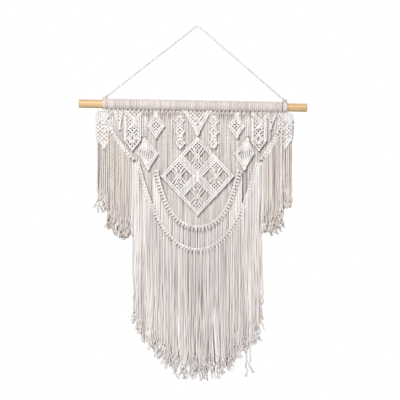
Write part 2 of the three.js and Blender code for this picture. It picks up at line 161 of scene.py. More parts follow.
def smooth_path(points, step):
    """A Catmull-Rom line through the points, with even steps."""
    points = np.asarray(points, float)
    ends = [2 * points[0] - points[1], 2 * points[-1] - points[-2]]
    p = np.vstack([ends[0], points, ends[1]])
    t = np.linspace(0, 1, 6, endpoint=False)[:, None, None]
    p0, p1, p2, p3 = p[:-3], p[1:-2], p[2:-1], p[3:]
    line = 0.5 * (2 * p1 + (p2 - p0) * t + (2 * p0 - 5 * p1 + 4 * p2 - p3) * t ** 2
                  + (3 * p1 - p0 - 3 * p2 + p3) * t ** 3)
    line = np.vstack([line.transpose(1, 0, 2).reshape(-1, 3), points[-1]])
    along = np.concatenate([[0], np.cumsum(np.linalg.norm(np.diff(line, axis=0), axis=1))])
    count = max(2, int(round(along[-1] / step)) + 1)
    places = np.linspace(0, along[-1], count)
    return np.stack([np.interp(places, along, line[:, k]) for k in range(3)], axis=1)


def unit(v):
    return v / np.maximum(np.linalg.norm(v, axis=-1, keepdims=True), 1e-9)


def carried_normals(tangents):
    """Normals that turn as little as they can along a path."""
    normal = np.array([0.0, 1.0, 0.0]) if abs(tangents[0][1]) < 0.9 else np.array([1.0, 0, 0])
    normals = np.empty_like(tangents)
    for i, t in enumerate(tangents):
        normal = normal - t * (normal[0] * t[0] + normal[1] * t[1] + normal[2] * t[2])
        size = math.sqrt(normal[0] ** 2 + normal[1] ** 2 + normal[2] ** 2)
        normal = normal / max(size, 1e-9)
        normals[i] = normal
    return normals


def make_piece(name, mesh, material):
    mesh.polygons.foreach_set("use_smooth", [True] * len(mesh.polygons))
    mesh.materials.append(material)
    piece = bpy.data.objects.new(name, mesh)
    bpy.context.scene.collection.objects.link(piece)
    return piece


class Cords:
    """Collects swept cords and makes one mesh of them."""

    def __init__(self):
        self.vertices = []
        self.corners = []
        self.starts = []
        self.uvs = []
        self.vertex_count = 0
        self.corner_count = 0

    def add(self, path, diameter=CORD, sides=9, lobe=0.13, lay=LAY, normals=None,
            flat=(1.0, 1.0), ends=(0.8, 0.8), drawn_lay=0):
        """Sweeps a cord whose plies turn once in a lay. drawn_lay turns only the painted groove
        shade.
        """
        path = np.asarray(path, float)
        count = len(path)
        tangents = unit(np.gradient(path, axis=0))
        if normals is None:
            normals = carried_normals(tangents)
        across = np.cross(tangents, normals)
        along = np.concatenate([[0], np.cumsum(np.linalg.norm(np.diff(path, axis=0), axis=1))])
        turn = 2 * math.pi * np.arange(sides) / sides
        ply = 1 + lobe * np.cos(PLIES * turn)
        angle = turn[None, :] + (2 * math.pi / lay * along[:, None] if lay else 0)
        radius = np.full(count, diameter / 2)
        radius[0] *= ends[0]
        radius[-1] *= ends[1]
        size = radius[:, None] * ply[None, :]
        ring = (path[:, None, :]
                + (size * np.cos(angle) * flat[0])[:, :, None] * normals[:, None, :]
                + (size * np.sin(angle) * flat[1])[:, :, None] * across[:, None, :])
        turned = along / drawn_lay if drawn_lay else np.zeros(count)
        self._store(ring.reshape(-1, 3), count, sides, along, turned)

    def _store(self, vertices, count, sides, along, turned):
        base = self.vertex_count
        i = np.arange(count - 1)[:, None]
        j = np.arange(sides)[None, :]
        nxt = (j + 1) % sides
        quads = np.stack([i * sides + j, i * sides + nxt, (i + 1) * sides + nxt,
                          (i + 1) * sides + j], axis=-1).reshape(-1, 4)
        u0 = j / sides + turned[:-1, None]
        u1 = j / sides + turned[1:, None]
        v0 = np.broadcast_to(along[:-1, None], (count - 1, sides))
        v1 = np.broadcast_to(along[1:, None], (count - 1, sides))
        du = 1 / sides
        quad_uv = np.stack([np.stack([u0, v0], -1), np.stack([u0 + du, v0], -1),
                            np.stack([u1 + du, v1], -1), np.stack([u1, v1], -1)], axis=2)
        first_cap = np.arange(sides)[::-1]
        last_cap = (count - 1) * sides + np.arange(sides)
        cap_uv = np.stack([np.full(sides, 0.5), np.zeros(sides)], -1)
        corners = np.concatenate([quads.ravel(), first_cap, last_cap]) + base
        starts = np.concatenate([np.arange(len(quads)) * 4,
                                 [len(quads) * 4, len(quads) * 4 + sides]])
        self.vertices.append(vertices)
        self.corners.append(corners)
        self.starts.append(starts + self.corner_count)
        self.uvs.append(np.concatenate([quad_uv.reshape(-1, 2), cap_uv, cap_uv]))
        self.vertex_count += len(vertices)
        self.corner_count += len(corners)

    def make(self, name, material):
        mesh = bpy.data.meshes.new(name)
        vertices = np.concatenate(self.vertices) * MM
        corners = np.concatenate(self.corners)
        starts = np.concatenate(self.starts)
        mesh.vertices.add(len(vertices))
        mesh.vertices.foreach_set("co", vertices.astype(np.float32).ravel())
        mesh.loops.add(len(corners))
        mesh.loops.foreach_set("vertex_index", corners.astype(np.int32))
        mesh.polygons.add(len(starts))
        mesh.polygons.foreach_set("loop_start", starts.astype(np.int32))
        layer = mesh.uv_layers.new(name="cord")
        layer.data.foreach_set("uv", np.concatenate(self.uvs).astype(np.float32).ravel())
        mesh.update(calc_edges=True)
        return make_piece(name, mesh, material)


# --- Materials ----------------------------------------------------------------------------

WHITE = (1, 1, 1)
SHADOW = 0.86  # how bright the paler patches of painted shadow are
# Tints of the painted shadow patches: cooler in the paler ones, warmer in the deepest.
COOL_SHADOW_TINT = (0.90, 0.92, 0.98)
DEEP_SHADOW_TINT = (0.92, 0.86, 0.86)


def scaled(colour, factors):
    return tuple(c * f for c, f in zip(colour, factors))


class Surface:
    """A new material, and the few kinds of shader node that this script needs."""

    def __init__(self, name):
        self.material = bpy.data.materials.new(name)
        self.material.use_nodes = True
        self.nodes = self.material.node_tree.nodes
        self.links = self.material.node_tree.links
        self.place = self.nodes.new("ShaderNodeTexCoord").outputs["Object"]

    def fill(self, node, inputs):
        """Gives a node's inputs a number or another node's output each."""
        for name, value in inputs.items():
            if isinstance(value, bpy.types.NodeSocket):
                self.links.new(value, node.inputs[name])
            else:
                node.inputs[name].default_value = value

    def add(self, kind, inputs, **settings):
        node = self.nodes.new("ShaderNode" + kind)
        for name, value in settings.items():
            setattr(node, name, value)
        self.fill(node, inputs)
        return node

    def maths(self, operation, first, second=0.0):
        return self.add("Math", {0: first, 1: second}, operation=operation).outputs[0]

    def remap(self, value, **limits):
        limits = {name.replace("_", " ").title(): limit for name, limit in limits.items()}
        return self.add("MapRange", {"Value": value, **limits}).outputs["Result"]

    def noise(self, source, scale, detail, stretch=(1, 1, 1)):
        mapping = self.add("Mapping", {"Vector": source, "Scale": stretch})
        inputs = {"Vector": mapping.outputs["Vector"], "Scale": scale, "Detail": detail}
        return self.add("TexNoise", inputs).outputs["Fac"]

    def ramp(self, value, stops):
        """A colour that goes from stop to stop as the value grows."""
        node = self.add("ValToRGB", {"Fac": value})
        elements = node.color_ramp.elements
        while len(elements) < len(stops):
            elements.new(0.5)
        for element, (place, colour) in zip(elements, stops):
            element.position = place
            element.color = (*colour, 1)
        return node.outputs["Color"]

    def multiply(self, share, first, second):
        """The first colour, multiplied by the second to the given share."""
        node = self.add("Mix", {"Factor": share}, data_type="RGBA", blend_type="MULTIPLY")
        for name, value in (("A", first), ("B", second)):
            socket = next(s for s in node.inputs if s.name == name and s.type == "RGBA")
            self.links.new(value, socket)
        return next(s for s in node.outputs if s.type == "RGBA")

    def bump(self, height, strength, distance):
        inputs = {"Height": height, "Strength": strength, "Distance": distance}
        return self.add("Bump", inputs).outputs["Normal"]

    def finish(self, inputs):
        self.fill(self.nodes["Principled BSDF"], inputs)
        return self.material


def cotton_material(name, tint, groove_shade_share, shade=0.85):
    """Twisted cotton: grooves between the plies and fine fibres, with painted shade in the grooves
    and painted shadow patches between the cords.

    shade is how bright the deepest painted shadows between the cords are.
    """
    surface = Surface(name)
    cord_map = surface.add("UVMap", {}, uv_map="cord").outputs["UV"]
    around = surface.add("SeparateXYZ", {"Vector": cord_map}).outputs["X"]
    # Painted shade: the colour is darkened where the grooves between the plies lie; the same
    # groove mask also drives the bump.
    wave = surface.maths("COSINE", surface.maths("MULTIPLY", around, 2 * math.pi * PLIES))
    groove = surface.remap(wave, from_min=-1, from_max=0.4)
    groove_shade_colour = surface.ramp(groove, [(0.0, (0.60, 0.57, 0.56)), (1.0, WHITE)])

    low = scaled(tint, (SHADOW,) * 3)
    deep = scaled(scaled(tint, (shade,) * 3), DEEP_SHADOW_TINT)
    # Painted shade: noise patches darken the cotton towards these tints, for the shadows between
    # neighbouring cords.
    patches = surface.noise(surface.place, 1, 2, (270, 120, 4))
    patch_colour = surface.ramp(
        patches, [(0.33, deep), (0.39, scaled(low, COOL_SHADOW_TINT)), (0.48, low), (0.6, tint)])
    plied = surface.multiply(groove_shade_share, patch_colour, groove_shade_colour)

    fibres = surface.noise(cord_map, 1, 4, (16, 0.35, 1))
    fibre_colour = surface.ramp(fibres, [(0.35, (0.86, 0.85, 0.84)), (0.62, WHITE)])
    height = surface.maths("ADD", groove, fibres)
    return surface.finish({
        "Base Color": surface.multiply(0.7, plied, fibre_colour),
        "Normal": surface.bump(height, 0.45, 0.0008),
        "Roughness": 0.95,
        "Specular IOR Level": 0.2,
        "Sheen Weight": 0.25,
        "Sheen Roughness": 0.6,
    })


def wood_material():
    """Pale wood with long grain along the dowel."""
    surface = Surface("dowel_wood")
    grain = surface.noise(surface.place, 26, 6, (0.25, 9, 9))
    grain_colour = surface.ramp(grain, [(0.25, (0.45, 0.27, 0.13)), (0.5, (0.61, 0.405, 0.21)),
                                        (0.75, (0.69, 0.50, 0.29))])
    patches = surface.noise(surface.place, 9, 2)
    patch_colour = surface.ramp(patches, [(0.3, (0.82, 0.80, 0.78)), (0.7, WHITE)])
    return surface.finish({
        "Base Color": surface.multiply(0.6, grain_colour, patch_colour),
        "Normal": surface.bump(grain, 0.25, 0.0004),
        "Roughness": surface.remap(grain, to_min=0.45, to_max=0.7),
    })


def floor_material():
    surface = Surface("floor_pale")
    speckle = surface.noise(surface.place, 3, 2)
    colour = surface.ramp(speckle, [(0.3, (0.88, 0.88, 0.87)), (0.7, (0.92, 0.92, 0.91))])
    return surface.finish({"Base Color": colour, "Roughness": 0.9})


KNOT_COTTON = cotton_material("cotton_knots", (0.92, 0.875, 0.845), 0.3)
FRINGE_COTTON = cotton_material("cotton_fringe", (0.91, 0.855, 0.82), 0.75, 0.5)
SIDE_COTTON = cotton_material("cotton_side_fringe", (0.845, 0.77, 0.71), 0.75, 0.5)
# Painted light: the inner fringe is the fringe's cotton made paler, to make up for the shadow that
# the swags cast on it.
INNER_COTTON_LIT = cotton_material("cotton_inner_fringe_lit", (0.97, 0.915, 0.88), 0.7, 0.55)
# Painted shade: the plain cords behind the knots, and the upright cords in the cluster diamonds,
# are the same cotton made darker, as if shaded by the cords in front.
BACK_COTTON_SHADED = cotton_material("cotton_back_shaded", (0.83, 0.765, 0.73), 0.8, 0.5)
WRAP_COTTON = cotton_material("cotton_wraps", (0.71, 0.64, 0.60), 0.4)
HANGER_COTTON = cotton_material("cotton_hanger", (0.79, 0.78, 0.765), 0.4)
DOWEL_WOOD = wood_material()


# --- Camera and light ---------------------------------------------------------------------

VIEW_WIDTH = 1052.8  # what the camera sees at the hanging, across
VIEW_MIDDLE = (6.6, -455)
LENS = 85
SENSOR = 36

# Lights and floor: metres and watts.
AMBIENT = 0.265
LIGHTS = [
    ("key", (-0.75, -1.95, 0.85), 0.6, 63),
    ("fill", (1.2, -2.4, 0.1), 1.4, 15),
    ("behind", (0.5, 2.2, 0.8), 1.6, 44),
]
LIT_PLACE = (0, 0, -0.45)
FLOOR_HEIGHT = -1.32  # out of the main view
FLOOR_SIZE = 2.6


def add_camera():
    data = bpy.data.cameras.new("camera")
    data.lens = LENS
    data.sensor_width = SENSOR
    camera = bpy.data.objects.new("camera", data)
    distance = VIEW_WIDTH * LENS / SENSOR
    camera.location = Vector((VIEW_MIDDLE[0], -distance, VIEW_MIDDLE[1])) * MM
    camera.rotation_euler = (math.pi / 2, 0, 0)
    bpy.context.scene.collection.objects.link(camera)
    bpy.context.scene.camera = camera


def add_light(name, place, size, power):
    data = bpy.data.lights.new(name, "AREA")
    data.size = size
    data.energy = power
    light = bpy.data.objects.new(name, data)
    light.location = place
    aim = Vector(LIT_PLACE) - Vector(place)
    light.rotation_euler = aim.to_track_quat("-Z", "Y").to_euler()
    bpy.context.scene.collection.objects.link(light)


def add_studio():
    scene = bpy.context.scene
    scene.view_settings.view_transform = "Standard"
    scene.view_settings.look = "None"
    world = scene.world or bpy.data.worlds.new("studio")
    scene.world = world
    world.use_nodes = True
    nodes, links = world.node_tree.nodes, world.node_tree.links
    background = nodes["Background"]
    background.inputs["Color"].default_value = (1, 1, 1, 1)
    strength = nodes.new("ShaderNodeMapRange")
    strength.inputs["To Min"].default_value = AMBIENT
    strength.inputs["To Max"].default_value = 1.0
    links.new(nodes.new("ShaderNodeLightPath").outputs["Is Camera Ray"], strength.inputs["Value"])
    links.new(strength.outputs["Result"], background.inputs["Strength"])
    for light in LIGHTS:
        add_light(*light)
    bpy.ops.mesh.primitive_plane_add(size=FLOOR_SIZE, location=(0, 0, FLOOR_HEIGHT))
    floor = bpy.context.object
    floor.name = "floor"
    floor.data.materials.append(floor_material())


# --- The hanger cord ----------------------------------------------------------------------

HANGER_DIAMETER = 4.5
HANGER_ROUTE = [
    (-237.7, -181.1), (-216, -163.9), (-180, -135.5), (-144, -107.5), (-108, -79.4),
    (-72, -51.3), (-36, -23.3), (-12, -4.6), (-5.8, 0.3), (-3, 1.8), (0, 2.3),
    (3.2, 1.7), (6.2, 0), (12, -5.1), (36, -25.9), (72, -57.0), (108, -88.2),
    (144, -119.4), (180, -150.5), (210, -176.5), (224.8, -189.4),
]


def hanger_cord():
    route = np.array([(x, 0, z) for x, z in HANGER_ROUTE], float)
    path = smooth_path(route, 3)
    cords = Cords()
    cords.add(path, HANGER_DIAMETER, sides=12, lobe=0.06, lay=16)
    piece = cords.make("hanger_cord_twisted", HANGER_COTTON)
    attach(piece, "hanger")
    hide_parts("hanger_cord")


# --- Dowel and the turns of cord round it -------------------------------------------------

def on_dowel(x, radius, angle):
    """A point at a radius round the dowel's axis. Angle 0 is below it, a quarter turn in front."""
    return np.array([x, -radius * math.sin(angle), axis_height(x) - radius * math.cos(angle)])


def dowel():
    half = DOWEL_LENGTH / 2
    end = [(0, 0.02), (0, DOWEL_RADIUS - DOWEL_CHAMFER), (0.5, DOWEL_RADIUS - 0.55),
           (DOWEL_CHAMFER, DOWEL_RADIUS)]
    rings = [(reach - half, radius) for reach, radius in end]
    rings += [(place, DOWEL_RADIUS) for place in np.linspace(6 - half, half - 6, 90)]
    rings += [(half - reach, radius) for reach, radius in reversed(end)]
    sides = 48
    up, forward = np.array([-DOWEL_AXIS[2], 0, DOWEL_AXIS[0]]), np.array([0, 1, 0])
    vertices = []
    for place, radius in rings:
        uneven = 1 - 0.006 * (1 + math.sin(place * 0.021) * math.cos(place * 0.009 + 1))
        centre = DOWEL_MIDDLE + DOWEL_AXIS * place
        for turn in 2 * math.pi * np.arange(sides) / sides:
            spoke = math.cos(turn) * up + math.sin(turn) * forward
            vertices.append(centre + radius * uneven * spoke)
    faces = []
    for first in range(0, (len(rings) - 1) * sides, sides):
        for k in range(sides):
            nxt = (k + 1) % sides
            faces.append((first + k, first + nxt, first + sides + nxt, first + sides + k))
    faces.append(tuple(range(sides))[::-1])
    faces.append(tuple(range(len(vertices) - sides, len(vertices))))
    mesh = bpy.data.meshes.new("dowel_turned")
    mesh.from_pydata([tuple(v * MM) for v in vertices], [], faces)
    piece = make_piece("dowel_turned", mesh, DOWEL_WOOD)
    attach(piece, "dowel")
    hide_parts("dowel")


def add_wrap(cords, path):
    """A flat cord wound on the dowel."""
    normals = unit(np.array([p - np.array([p[0], 0, axis_height(p[0])]) for p in path]))
    cords.add(path, WRAP_WIDTH, normals=normals, lay=0, lobe=0.0, sides=10,
              flat=(WRAP_THICKNESS / WRAP_WIDTH, 1.0), ends=(0.7, 0.7), drawn_lay=LAY)


def larks_head(cords, x, width):
    """A folded cord: two turns over the dowel, a bight behind it and two legs gathered below."""
    radius = DOWEL_RADIUS + WRAP_THICKNESS / 2 + 0.15
    angles = np.linspace(0.15, 1.86 * math.pi, 30)
    left, right = ([on_dowel(x + sign * width / 4, radius, a) for a in angles] for sign in (-1, 1))
    bight = [on_dowel(x + s * width / 4, radius + 0.6, 1.9 * math.pi) for s in (-0.6, 0, 0.6)]
    add_wrap(cords, left + bight + right[::-1])
    start = axis_height(x) - DOWEL_RADIUS
    for sign in (-1, 1):
        points = [(x + sign * gather, MAIN_Y - 3.5 + depth, start - drop)
                  for drop, gather, depth in ((-1, 1.2, 1), (3, 0.7, 0), (7, 0.9, 0),
                                              (11, width / 4, 1), (18, width / 4, 3),
                                              (32, width / 4, 7))]
        cords.add(smooth_path(points, 2), CORD * 0.95, sides=8)


def larks_heads(node):
    low, high = box(node)
    count = max(1, round((high[0] - low[0]) / (2 * PITCH)))
    width = (high[0] - low[0]) / count
    cords = Cords()
    for i in range(count):
        x = low[0] + width * (i + 0.5) + rng.uniform(-0.25, 0.25)
        larks_head(cords, x, width)
    piece = cords.make(f"{node}_cord", WRAP_COTTON)
    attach(piece, "panel")
    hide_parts(node)


def hanger_knot(node):
    """Turns of the hanger cord round the dowel, the knot on top, and the leg up to the cord."""
    low, high = box(node)
    cords = Cords()
    radius = DOWEL_RADIUS + WRAP_THICKNESS / 2 + 0.2
    turns = 3
    middle = (low[0] + high[0]) / 2
    width = (high[0] - low[0]) - WRAP_WIDTH
    angles = np.linspace(math.pi, math.pi + 2 * math.pi * turns, 28 * turns)
    add_wrap(cords, [
        on_dowel(middle + width * ((a - math.pi) / (2 * math.pi * turns) - 0.5), radius, a)
        for a in angles])
    top = axis_height(middle) + DOWEL_RADIUS
    knot = [(middle + 4.2 * math.cos(a), 3.6 * math.sin(a) * math.cos(a / 4),
             top + 5.5 + 2.4 * math.sin(a * 1.5)) for a in np.linspace(0, 4 * math.pi, 40)]
    cords.add(smooth_path(knot, 1.5), 4.4, sides=9)
    end = HANGER_ROUTE[0] if middle < 0 else HANGER_ROUTE[-1]
    leg = [(middle, 0, top + 4), ((middle + end[0]) / 2, -1, (top + 4 + end[1]) / 2 + 1),
           (end[0], 0, end[1] + 0.5)]
    cords.add(smooth_path(leg, 1.5), HANGER_DIAMETER, sides=9)
    piece = cords.make(f"{node}_cord", WRAP_COTTON)
    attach(piece, "hanger")
    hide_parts(node)


# --- Elements of the knotted band ---------------------------------------------------------

def ridge(cords, start, end, y, size=RIDGE):
    """A row of half hitches: a tight coil of cord along a line in the panel's plane."""
    start, end = np.asarray(start, float), np.asarray(end, float)
    length = np.linalg.norm(end - start)
    if length < 3:
        return
    along = (end - start) / length
    across = np.array([-along[1], along[0]])
    turns = max(2, round(length / (size * COIL_PITCH)))
    t = np.linspace(0, 1, turns * 8 + 1)
    angle = 2 * math.pi * turns * t
    if along[0] * along[1] < 0:
        angle = -angle
    radius = size * COIL_RADIUS
    plane = (start[None, :] + (end - start)[None, :] * t[:, None]
             + across[None, :] * (radius * np.cos(angle))[:, None])
    path = np.stack([plane[:, 0], y + radius * np.sin(angle), plane[:, 1]], axis=1)
    cords.add(path, size * COIL_CORD, sides=8, lobe=0, lay=0, drawn_lay=LAY / 2)


def bar(cords, start, end, y, ridges=2, size=RIDGE, inward=None):
    """Rows of half hitches side by side, from the line inwards."""
    start, end = np.asarray(start, float), np.asarray(end, float)
    along = (end - start) / max(np.linalg.norm(end - start), 1e-6)
    across = np.array([-along[1], along[0]])
    if inward is not None and np.dot(np.asarray(inward) - start, across) < 0:
        across = -across
    for k in range(ridges):
        offset = across * size * 1.03 * (k + 0.5)
        trim = along * size * 0.5 * k
        ridge(cords, start + offset + trim, end + offset - trim, y, size)


def clip(outline, point, direction):
    """The stretch of a line inside a convex outline, or None."""
    low, high = -1e9, 1e9
    middle = np.mean(outline, axis=0)
    for i in range(len(outline)):
        a, b = np.asarray(outline[i]), np.asarray(outline[(i + 1) % len(outline)])
        normal = np.array([b[1] - a[1], a[0] - b[0]])
        if np.dot(normal, middle - a) > 0:
            normal = -normal
        reach, speed = np.dot(normal, point - a), np.dot(normal, direction)
        if abs(speed) < 1e-9:
            if reach > 0:
                return None
            continue
        t = -reach / speed
        if speed > 0:
            high = min(high, t)
        else:
            low = max(low, t)
    return (low, high) if high - low > 2 else None


def lattice(cords, outline, y, pitch=NET_PITCH, diameter=NET_CORD):
    """Cords that cross in both directions, over and under each other, inside an outline."""
    outline = [np.asarray(p, float) for p in outline]
    middle = np.mean(outline, axis=0)
    count = int(max(np.linalg.norm(p - middle) for p in outline) / pitch) + 1
    for sign in (-1, 1):
        lean = math.pi / 4 * sign
        direction = np.array([math.sin(lean), -math.cos(lean)])
        across = np.array([direction[1], -direction[0]])
        for k in range(-count, count + 1):
            base = middle + across * pitch * (k + 0.5)
            reach = clip(outline, base, direction)
            if reach is None:
                continue
            t = np.linspace(*reach, max(3, int((reach[1] - reach[0]) / (pitch / 3)) + 1))
            over = np.cos(math.pi * (t / pitch + k + 0.5)) * 1.5 * sign
            path = np.stack([base[0] + direction[0] * t, y - over, base[1] + direction[1] * t], 1)
            cords.add(path, diameter, sides=7, lobe=0.1)


def upright_fill(cords, outline, y, pitch, wander=0.5):
    """Upright cords side by side inside an outline."""
    outline = [np.asarray(p, float) for p in outline]
    low, high = min(p[0] for p in outline), max(p[0] for p in outline)
    count = max(1, round((high - low) / pitch))
    for k in range(count):
        x = low + (high - low) * (k + 0.5) / count
        reach = clip(outline, np.array([x, outline[0][1]]), np.array([0.0, -1.0]))
        if reach is None:
            continue
        top, bottom = outline[0][1] - reach[0], outline[0][1] - reach[1]
        zs = np.linspace(top, bottom, max(3, int((top - bottom) / 14) + 1))
        phase = rng.uniform(0, 6.28)
        path = [(x + wander * math.sin(z * 0.07 + phase), y + 0.4 * math.cos(z * 0.05 + phase), z)
                for z in zs]
        cords.add(smooth_path(path, 3.5))


def bundle(cords, top, bottom, swell, spread, count, y):
    """Cords that swell between two ends: spread wide at the ends, swell wide half way down."""
    for k in range(count):
        share = k / (count - 1) - 0.5
        depth = -1.2 * math.cos(math.pi * share)
        points = []
        for t in np.linspace(0, 1, 7):
            width = spread + (swell - spread) * math.sin(math.pi * t)
            x = top[0] + (bottom[0] - top[0]) * t + share * width
            points.append((x, y + depth, top[1] + (bottom[1] - top[1]) * t))
        cords.add(smooth_path(points, 2.5), CORD * 0.92)


def rim(cords, outline, y, ridges=2, size=RIDGE):
    """Bars along each edge of an outline, inside it."""
    middle = np.mean(outline, axis=0)
    for i in range(len(outline)):
        a, b = outline[i], outline[(i + 1) % len(outline)]
        bar(cords, a, b, y, ridges, size, inward=middle)


def kite(middle, half_width, half_height):
    x, z = middle
    return [np.array(p, float) for p in ((x, z + half_height), (x + half_width, z),
                                         (x, z - half_height), (x - half_width, z))]


def finish_panel(cords, node, material=KNOT_COTTON, ending="cords"):
    piece = cords.make(f"{node}_{ending}", material)
    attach(piece, "panel")
    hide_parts(node)


def centre_knot(cords, x, z, y, size):
    """A square knot: two core cords and two that cross over and behind them."""
    w, h = size, size * 0.9
    front = [(-w, 0, h), (0, -2.2, h * 0.5), (w, 0, 0), (0, -2.2, -h * 0.5), (-w, 0, -h)]
    behind = [(w, 0, h), (0, 2, h * 0.5), (-w, -1, 0), (0, 2, -h * 0.5), (w, 0, -h)]
    cores = [[(s * w, 0, h), (s * w, -0.4, 0), (s * w, 0, -h)] for s in (-0.35, 0.35)]
    for points, step in ((front, 1.8), (behind, 1.8), (cores[0], 2), (cores[1], 2)):
        path = smooth_path([(x + a, y + b, z + c) for a, b, c in points], step)
        cords.add(path, THIN_CORD, sides=7)


# --- The knotted band ---------------------------------------------------------------------

def outer_net(name, sign):
    """Slanting cords, a net under them, and small diamonds that end in a point."""
    node = f"outer_net_{name}"
    cell = Cell(node, sign)
    cords = Cords()
    y = MAIN_Y
    for k in range(9):
        share = k / 8
        places = (cell(0.01 + 0.37 * share, 0), cell(0.96 * share, 0.07), cell(share, 0.5),
                  cell(0.12 + 0.76 * share, 0.86))
        points = [(p[0], y + 1.5 - 2 * (k % 2), p[1]) for p in places]
        cords.add(smooth_path(points, 3.5))
    lattice(cords, [cell(0.0, 0.3), cell(0.5, 0.2), cell(1.0, 0.36), cell(1.0, 0.7),
                    cell(0.52, 1.0), cell(0.0, 0.7)], y - 2.4)
    bar(cords, cell(0.08, 0.03), cell(0.56, 0.32), y - 4, 1, RIDGE * 0.85)
    bar(cords, cell(0.95, 0.2), cell(0.5, 0.4), y - 4, 1, RIDGE * 0.85)
    for height, wide, tall in ((0.5, 14, 11), (0.78, 13, 15)):
        rim(cords, kite(cell(0.52, height), wide, tall), y - 4, 1, SMALL_RIDGE)
    for end in (0.02, 0.98):
        bar(cords, cell(end, 0.7), cell(0.52, 1.0), y - 3.6, 1, SMALL_RIDGE,
            inward=cell(0.52, 0.6))
    finish_panel(cords, node)


def triangle_net(name, sign):
    node = f"triangle_net_{name}"
    cell = Cell(node, sign)
    cords = Cords()
    tip = cell(0.36, 1.0)
    lattice(cords, [cell(0, 0), cell(1, 0), tip], MAIN_Y - 2)
    for corner in (0.0, 1.0):
        bar(cords, cell(corner, 0.05), tip, MAIN_Y - 3.2, 1, SMALL_RIDGE, inward=cell(0.5, 0.2))
    finish_panel(cords, node)


def net_column(name, sign):
    """A net, two bars that cross, and small diamonds that end in a point."""
    node = f"net_column_{name}"
    cell = Cell(node, sign)
    cords = Cords()
    y = MAIN_Y
    lattice(cords, [cell(0, 0), cell(1, 0), cell(1, 0.74), cell(0.5, 1.0), cell(0, 0.74)], y - 1)
    for start, end in ((0.03, 0.74), (0.97, 0.26)):
        bar(cords, cell(start, 0.05), cell(end, 0.42), y - 4, 2, SMALL_RIDGE)
    for height in (0.46, 0.7):
        rim(cords, kite(cell(0.5, height), 14, 13), y - 4, 1, SMALL_RIDGE)
    for end in (0.0, 1.0):
        bar(cords, cell(end, 0.74), cell(0.5, 1.0), y - 3.6, 1, SMALL_RIDGE,
            inward=cell(0.5, 0.6))
        for shift in (0.04, 0.13):
            places = [cell(abs(end - shift), v) for v in (0.16, 0.4, 0.6, 0.76)]
            cords.add(smooth_path([(p[0], y - 2.6, p[1]) for p in places], 3))
    finish_panel(cords, node)


def small_diamond(name, sign):
    """Two bars along each edge, a small net inside them and another above."""
    node = f"small_diamond_{name}"
    cell = Cell(node, sign)
    cords = Cords()
    outline = [cell(0.5, 0.04), cell(1, 0.55), cell(0.5, 1.0), cell(0, 0.55)]
    rim(cords, outline, MAIN_Y - 3.2, 2, RIDGE * 0.9)
    middle = cell(0.5, 0.54)
    inner = [middle + (p - middle) * 0.6 for p in outline]
    lattice(cords, inner, MAIN_Y - 2.4, 6.4, THIN_CORD)
    lattice(cords, [cell(0.3, 0), cell(0.7, 0), cell(0.5, 0.2)], MAIN_Y - 1.6)
    finish_panel(cords, node)


def stem(name, sign):
    node = f"diamond_stem_{name}"
    cell = Cell(node, sign)
    cords = Cords()
    upright_fill(cords, [cell(0, 0.06), cell(1, 0.06), cell(1, 1), cell(0, 1)], MAIN_Y, 4.8)
    finish_panel(cords, node)


def leaf_diamond(name, sign):
    """A kite of bars, and inside it a bundle of cords with a small net near the top."""
    cell = Cell(f"leaf_diamond_{name}", sign)
    apex, outer, tip, inner = cell(0.679, 0), cell(1, 0.489), cell(0.5, 1), cell(0, 0.489)
    middle = (apex + outer + tip + inner) / 4
    cords = Cords()
    y = MAIN_Y - 3.2
    bar(cords, apex, inner, y - 0.6, 2, RIDGE * 0.95, inward=middle)
    bar(cords, tip, inner, y, 2, RIDGE * 0.9, inward=middle)
    bar(cords, tip, outer, y, 2, RIDGE * 0.9, inward=middle)
    bar(cords, apex, outer, y + 0.8, 1, RIDGE * 1.1, inward=middle)
    finish_panel(cords, f"leaf_diamond_{name}")
    leaf = Cords()
    shrunk = [middle + (p - middle) * 0.84 for p in (apex, outer, tip, inner)]
    upright_fill(leaf, shrunk, MAIN_Y + 2.2, 4.3)
    bundle(leaf, cell(0.64, 0.17), cell(0.50, 0.84), 24, 7, 6, MAIN_Y - 3)
    lattice(leaf, [cell(0.66, 0.14), cell(0.84, 0.32), cell(0.6, 0.44), cell(0.42, 0.3)],
            MAIN_Y - 2.6, 5.8, CORD * 0.75)
    finish_panel(leaf, f"leaf_bundle_{name}")


def knot_chain(name, sign):
    """Three small diamonds one under the other on a narrow net, with two cords at each side."""
    node = f"knot_chain_{name}"
    cell = Cell(node, sign)
    cords = Cords()
    y = MAIN_Y
    outline = [cell(-0.02, 0), cell(1.05, 0), cell(0.92, 0.9), cell(0.4, 1.0), cell(-0.18, 0.9)]
    lattice(cords, outline, y - 1.2, 6.2, SWAG_CORD)
    for k in range(3):
        middle = cell(0.5 - 0.08 * k, 0.25 + 0.28 * k)
        rim(cords, kite(middle, 13.5, 14.5), y - 3, 1, RIDGE * 0.76)
    for shift in (-0.42, -0.3, 0.3, 0.42):
        places = [cell(0.5 + shift - 0.16 * v, v) for v in (0, 0.25, 0.5, 0.75, 0.94)]
        cords.add(smooth_path([(p[0], y + 0.6, p[1]) for p in places], 3))
    finish_panel(cords, node)


def centre_net():
    low, high = box("centre_net")
    tip = np.array([0, low[2]])
    left, right = np.array([low[0], high[2]]), np.array([high[0], high[2] - 1.4])
    cords = Cords()
    y = MAIN_Y
    lattice(cords, [left, right, tip], y - 1.8)
    bar(cords, left, tip, y - 3.4, 2, inward=(0, high[2]))
    bar(cords, right, tip, y - 3.4, 2, inward=(0, high[2]))
    for sign in (-1, 1):
        bar(cords, (sign * 19, high[2] - 3), (-sign * 12, low[2] + 26), y - 4, 1, RIDGE * 0.9)
    centre_knot(cords, 0, low[2] + 21, y - 4.2, 6)
    finish_panel(cords, "centre_net")


